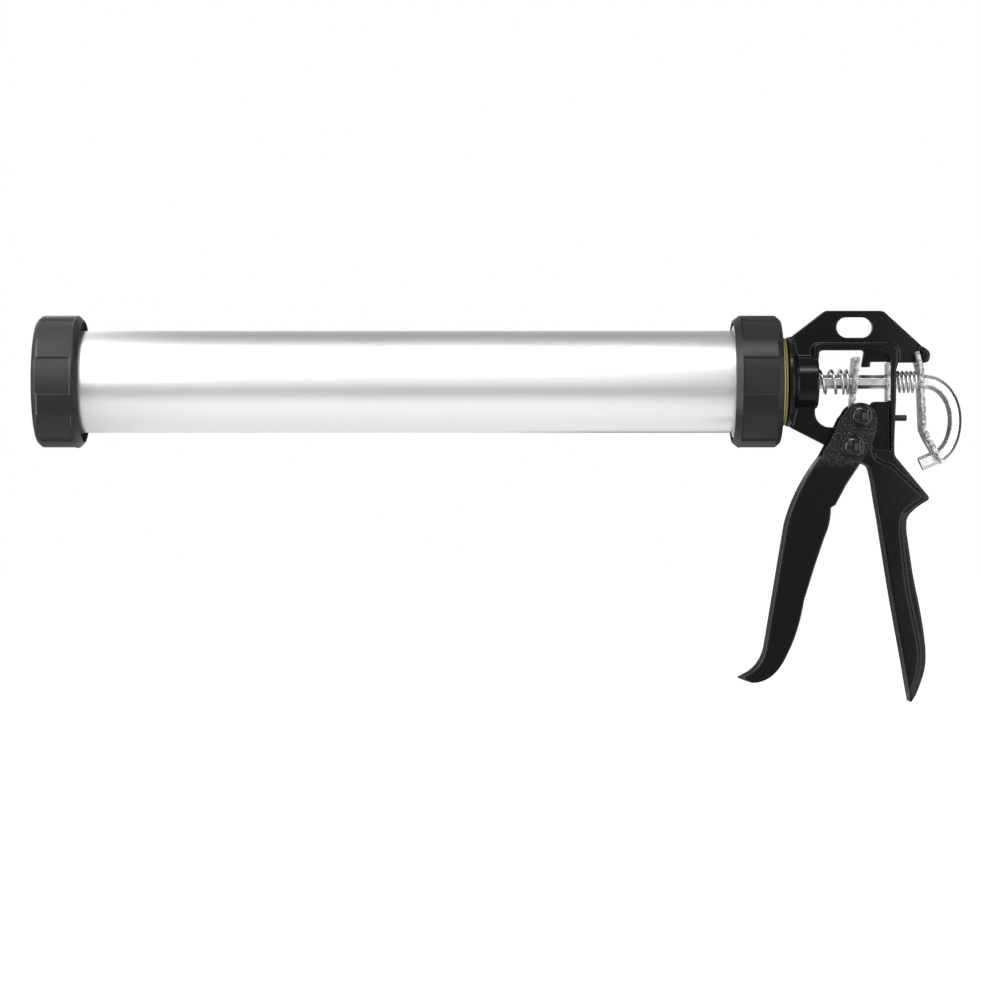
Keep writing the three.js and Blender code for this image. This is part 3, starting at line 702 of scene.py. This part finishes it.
# ---- Trigger ----------------------------------------------------------------------------------
# A channel pressed from 2 mm steel sheet: a rounded front wall, two cheeks that close over the frame's
# pivot boss, and a curled tip. Enamelled black, with a wrinkled coat over the rivets' end.
TRIGGER_HALF = 11.5
TRIGGER_SHEET = 2.0
TRIGGER_BEND = 3.8
LOBE_AT = (-22.3, 90.9)
LOBE_R = 9.1
LOBE_STEPS = 22
CURVE_STEPS = 9
WRINKLES_FROM_Z = (0.064, 0.074)


def quadratic(start, control, end):
    s, c, e = Vector(start), Vector(control), Vector(end)
    return [tuple(s * (1 - t) ** 2 + c * 2 * t * (1 - t) + e * t * t) for t in
            (k / CURVE_STEPS for k in range(1, CURVE_STEPS + 1))]


def prism(outline, half, bend=0.0, bent=()):
    """A flat outline of (x, z) points carried from -half to half, with the bent outline edges rounded."""
    work = bmesh.new()
    near = [work.verts.new(Vector((x, -half, z)) * MM) for x, z in outline]
    far = [work.verts.new(Vector((x, half, z)) * MM) for x, z in outline]
    count = len(outline)
    work.faces.new(near)
    work.faces.new(list(reversed(far)))
    for i in range(count):
        work.faces.new((near[(i + 1) % count], near[i], far[i], far[(i + 1) % count]))
    if bend:
        rims = [work.edges.get((row[i], row[(i + 1) % count])) for row in (near, far) for i in bent]
        bmesh.ops.bevel(work, geom=rims, offset=bend * MM, segments=6, profile=0.5, affect="EDGES",
                        clamp_overlap=False)
    bmesh.ops.recalc_face_normals(work, faces=work.faces)
    mesh = bpy.data.meshes.new("prism")
    work.to_mesh(mesh)
    work.free()
    return mesh


front_wall = ([(-80, -49.2), (-87, -46.8)] + quadratic((-87, -46.8), (-75.2, -43.4), (-72.4, -31))
              + [(-61.4, 35.2)] + quadratic((-61.4, 35.2), (-56.2, 55), (-43, 71.6)))
lobe = [(-35.4, 86.1), (-32.6, 92)]
lobe += [(LOBE_AT[0] + LOBE_R * math.cos(a), LOBE_AT[1] + LOBE_R * math.sin(a)) for a in
         (math.pi - 0.35 - k * (math.pi - 0.15) / LOBE_STEPS for k in range(LOBE_STEPS + 1))]
lobe += quadratic(lobe[-1], (-14, 81), (-17.8, 74.4))
rear_edge = ([(-29.8, 56.4), (-35.6, 45.4), (-38, 44.1)] + quadratic((-38, 44.1), (-38, 35.5), (-41.2, 29))
             + [(-46.4, 13.7), (-52.3, -5.3)] + quadratic((-52.3, -5.3), (-55, -22), (-61.2, -34))
             + quadratic((-61.2, -34), (-68.2, -49.4), (-80, -49.2))[:-1])
cheek = front_wall + lobe + rear_edge
hollow = ([(-46, 110), (-46, 73.2), (-41.2, 70.6)] + quadratic((-41.2, 70.6), (-54.1, 54.4), (-59.3, 34.8))
          + [(-70.4, -31.4)] + quadratic((-70.4, -31.4), (-71.6, -38), (-76.6, -43.6))
          + [(-76.6, -60), (0, -60), (0, 110)])
blank = placed("trigger_blank", prism(cheek, TRIGGER_HALF, TRIGGER_BEND, range(1, len(front_wall) - 1)))
inside = placed("trigger_inside", prism(hollow, TRIGGER_HALF - TRIGGER_SHEET))
pressed = blank.modifiers.new("press", "BOOLEAN")
pressed.operation, pressed.object, pressed.solver = "DIFFERENCE", inside, "EXACT"
bpy.context.view_layer.update()
trigger_graph = bpy.context.evaluated_depsgraph_get()
channel = bpy.data.meshes.new_from_object(blank.evaluated_get(trigger_graph), depsgraph=trigger_graph)
for spent in (blank, inside):
    bpy.data.objects.remove(spent)

pressed_coat = Finish("trigger_enamel")
coat_height = pressed_coat.along("Z")
wrinkled = pressed_coat.span(coat_height, *WRINKLES_FROM_Z)
coat_peel = pressed_coat.grain(0.3, 2)
coat_fine = pressed_coat.grain(3.0, 2)
pebbles = pressed_coat.cells(0.62, "DISTANCE_TO_EDGE")
# Painted highlight: the pebble tops of the wrinkled coat are painted lighter in the colour, as if catching
# the light, while the hollows stay black; the same mask also raises the pebbles in the bump.
pebble_relief_and_painted_glint = pressed_coat.span(pebbles, 0.03, 0.34) * wrinkled * pressed_coat.span(
    pressed_coat.grain(0.35, 2), 0.38, 0.60, 0.35, 1.0)
coat_black = pressed_coat.tint(coat_fine, grey(0.003), grey(0.006))
trigger_finish = pressed_coat.surface(
    Base_Color=pressed_coat.tint(pebble_relief_and_painted_glint, coat_black, grey(0.022)),
    Roughness=coat_fine * 0.08 + wrinkled * 0.06 + 0.15, Specular_IOR_Level=0.3,
    Normal=pressed_coat.relief(pebble_relief_and_painted_glint * 1.4 + coat_peel * 0.10 + coat_fine * 0.02, 0.42, 1.0))
trigger_piece = rounded_over("trigger_pressed", channel, trigger_finish, 0.4, 3)
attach(trigger_piece, "trigger")
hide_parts("trigger")


# ---- Rivets and their washers -------------------------------------------------------------------
# Two cold-headed steel rivets, one the trigger's pivot and one the pin that drives the plate, with a
# thin washer under each domed head. Black like the trigger, and glossier where the punch pressed them.
RIVET_SIDES = 48


def rivet_half(name):
    """Half a rivet on its own axis along Y: shank, washer and domed head on the far side."""
    profile = [(0, 0), (0, 2.5), (11.8, 2.5), (11.8, 6.0), (11.95, 6.3), (12.25, 6.3), (12.4, 6.0),
               (12.4, 4.9), (12.7, 5.0), (13.1, 5.0), (13.5, 4.8), (13.95, 4.3), (14.4, 3.6),
               (14.8, 2.7), (15.1, 1.6), (15.25, 0.7), (15.3, 0)]
    points = [Vector((r * math.cos(a), y, r * math.sin(a))) * MM
              for a in (2 * math.pi * j / RIVET_SIDES for j in range(RIVET_SIDES)) for y, r in profile]
    rows = len(profile)
    faces = [(j * rows + i, j * rows + i + 1, (j + 1) % RIVET_SIDES * rows + i + 1,
              (j + 1) % RIVET_SIDES * rows + i)
             for j in range(RIVET_SIDES) for i in range(rows - 1)]
    mesh = bpy.data.meshes.new(name)
    mesh.from_pydata(points, [], faces)
    return mesh


rivet_coat = Finish("rivet_black")
rivet_fine = rivet_coat.grain(1.6, 3)
rivet_finish = rivet_coat.surface(
    Base_Color=rivet_coat.tint(rivet_fine, grey(0.006), grey(0.014)),
    Roughness=rivet_fine * 0.06 + 0.07, Specular_IOR_Level=0.35,
    Normal=rivet_coat.relief(rivet_fine, 0.03, 0.5))
for node, body, (x, z) in (("pivot", "frame", (-26.3, 76.9)), ("drive", "trigger", (-22.2, 93.3))):
    rivet = round_copies.forms(node + "_rivet_headed", rivet_finish, rivet_half(node + "_rivet_half"),
                               Count=2, Step=(0, 0, math.pi), Centre=(x * MM, 0, z * MM))
    evened(rivet)
    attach(rivet, body)
    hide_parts(node + "_rivet", node + "_washer_near", node + "_washer_far")


# ---- Drive plate and release lever --------------------------------------------------------------
# The drive plate is sheared from thick strip and bites the rod as it leans. The lever is bent from
# thinner strip, with a prong each side of the head plate and of the hook. Both are barrel-plated zinc.
plate = rounded_over("drive_plate_sheared", merged_copy("drive_plate"), zinc_finish, 0.35, 2)
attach(plate, "drive_plate")
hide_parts("drive_plate")

lever = rounded_over("release_lever_bent", merged_copy("release_lever"), zinc_finish, 0.35, 3)
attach(lever, "release_lever")
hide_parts("release_lever")


# ---- Springs ------------------------------------------------------------------------------------
# Two coils of bright drawn wire on the rod: one pushes the drive plate back after each squeeze, the
# other holds the release lever leaning. Their last turns are wound close.
SPRING_STEPS_A_TURN = 48
spring_steel = Finish("spring_wire")
wire_marks = spring_steel.grain(2.0, 3)
spring_finish = spring_steel.surface(
    Base_Color=spring_steel.tint(wire_marks, grey(0.55), grey(0.85)), Metallic=1.0,
    Roughness=wire_marks * 0.15 + 0.16, Normal=spring_steel.relief(wire_marks, 0.02, 0.5))
for node, joint, share_left, turns, closing, (start, end, radius, thick) in (
        ("drive_spring", "drive_plate_travel", 0.53, 4.0, 1.7, (-45.2, -27.9, 6.15, 0.7)),
        ("release_spring", "release_lever_press", 0.80, 4.5, 1.0, (-1.9, 8.4, 5.35, 0.65))):
    spring = coil.forms(node + "_wound", spring_finish, Turns=turns, Closing=closing, Wire_Sides=12,
                        Steps=int(turns * SPRING_STEPS_A_TURN), Start=start * MM, End=end * MM,
                        Radius=radius * MM, Wire=thick * MM)
    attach(spring, "frame")
    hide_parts(node)
    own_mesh(spring)


# ---- Push rod -----------------------------------------------------------------------------------
# Drawn hexagon bar, zinc plated, bent into a pull hook with the end sawn square. The front end is
# turned down and threaded for the piston. Drawing leaves long streaks that follow the bar.
HEX_R = 3.8
HEX_CORNER = 0.45
HEX_EDGE_ANGLE = math.radians(50)
ROD_FRONT_X = -434.5
BEND_START_X = 13.4
ROD_LENGTHS = 12
HOOK_STEPS = 28
STREAKS_END_X = (0.010, 0.016)
bar = Former("bar_along_a_line", Radius=0.004, Corner=0.0004, Sides=6)
bar_line = bar.node("GeometryNodeMeshToCurve", None, {"Mesh": bar.size("Geometry")})
section = bar.node("GeometryNodeCurvePrimitiveCircle", None, {
    "Resolution": bar.size("Sides"), "Radius": bar.size("Radius")})
section = bar.node("GeometryNodeFilletCurve", {"mode": "POLY"}, {
    "Curve": section, "Radius": bar.size("Corner"), "Count": 3})
section = bar.node("GeometryNodeTransform", None, {"Geometry": section, "Rotation": (0, 0, math.pi / 6)})
bar.ends_with(bar.node("GeometryNodeCurveToMesh", None, {
    "Curve": bar_line, "Profile Curve": section, "Fill Caps": True}))


def cubic(p0, p1, p2, p3):
    a, b, c, d = (Vector(p) for p in (p0, p1, p2, p3))
    return [tuple(a * (1 - t) ** 3 + b * 3 * t * (1 - t) ** 2 + c * 3 * t * t * (1 - t) + d * t ** 3)
            for t in (k / HOOK_STEPS for k in range(1, HOOK_STEPS + 1))]


rod_line = [(ROD_FRONT_X + k * (BEND_START_X - ROD_FRONT_X) / ROD_LENGTHS, AXIS_Z)
            for k in range(ROD_LENGTHS + 1)]
rod_line += cubic((BEND_START_X, AXIS_Z), (22.1, AXIS_Z), (29.2, 102.2), (29.2, 91))
rod_line += cubic((29.2, 91), (29.2, 81.3), (25.4, 73.8), (19.5, 71.2)) + [(15.1, 69.2), (10.8, 67.2)]
rod_mesh = bpy.data.meshes.new("rod_line")
rod_mesh.from_pydata([Vector((x, 0, z)) * MM for x, z in rod_line],
                     [(i, i + 1) for i in range(len(rod_line) - 1)], [])

rod_zinc = Finish("rod_zinc")
rod_streak = rod_zinc.grain(1.1, 4, (0.05, 1, 1))
rod_mottle = rod_zinc.grain(0.3, 4)
rod_fine = rod_zinc.grain(4.0, 3, (0.2, 1, 1))
rod_straight = rod_zinc.span(rod_zinc.along("X"), *STREAKS_END_X, 0.5, 0.0)
rod_mark = rod_streak * rod_straight + rod_mottle * (1 - rod_straight)
rod_finish = rod_zinc.surface(
    Base_Color=rod_zinc.tint(
        rod_zinc.span(rod_mark, 0.36, 0.58), (0.66, 0.66, 0.67, 1), (0.88, 0.88, 0.88, 1)),
    Metallic=1.0, Roughness=rod_fine * 0.08 + 0.20,
    Normal=rod_zinc.relief(rod_mark * 0.14 + rod_fine * 0.08, 0.05, 0.7))
rod_bar = bar.forms("rod_bar", rod_finish, rod_mesh, Radius=HEX_R * MM, Corner=HEX_CORNER * MM)
cut_end = bmesh.new()
cut_end.from_mesh(rod_bar.data)
for edge in cut_end.edges:
    edge.smooth = len(edge.link_faces) < 2 or edge.calc_face_angle(0.0) < HEX_EDGE_ANGLE
cut_end.to_mesh(rod_bar.data)
cut_end.free()
rod_stub = turned("rod_stub", softened([
    (-455, 0), (-433, 0), (-433, 2.9), (-454.3, 2.9), (-455, 2.4)]), rod_finish, 32)
rod_thread = coil.forms("rod_thread", rod_finish, Start=-454.2 * MM, End=-435 * MM, Radius=2.95 * MM,
                        Turns=15.0, Wire=0.45 * MM, Wire_Sides=4, Steps=480)
push_rod = joined("push_rod_hooked", rod_bar, rod_stub, rod_thread)
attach(push_rod, "push_rod")
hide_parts("push_rod")


# ---- Piston and nozzle seat ---------------------------------------------------------------------
# Inside the barrel: a moulded disc and a rubber wiper between two steel washers, drawn up by a nut on
# the rod's thread. The nozzle's flange seats on a loose moulded ring inside the front cap.
moulded = Finish("piston_moulding")
moulded_fine = moulded.grain(2.5, 3)
moulded_cloud = moulded.grain(0.06, 3)
moulded_finish = moulded.surface(
    Base_Color=moulded.tint(moulded_cloud, (0.60, 0.57, 0.50, 1), (0.72, 0.70, 0.63, 1)),
    Roughness=moulded_fine * 0.15 + 0.42, Normal=moulded.relief(moulded_fine, 0.03, 0.6))
rubber = Finish("wiper_rubber")
rubber_fine = rubber.grain(3.0, 3)
rubber_finish = rubber.surface(
    Base_Color=rubber.tint(rubber_fine, grey(0.010), grey(0.022)),
    Roughness=rubber_fine * 0.15 + 0.65, Normal=rubber.relief(rubber_fine, 0.05, 0.8))
for node, finish, body, slot_name in (
        ("piston_nut", zinc_finish, "push_rod", "zinc_steel"),
        ("piston_front_washer", zinc_finish, "push_rod", "zinc_steel"),
        ("piston_disc", moulded_finish, "push_rod", "piston_nylon"),
        ("piston_wiper", rubber_finish, "push_rod", "wiper_rubber"),
        ("piston_rear_washer", zinc_finish, "push_rod", "zinc_steel"),
        ("nozzle_seat_ring", moulded_finish, "nozzle_seat", "piston_nylon")):
    inner = broken_edges(node + "_finished", merged_copy(node), finish, 0.3)
    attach(inner, body)
    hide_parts(node)
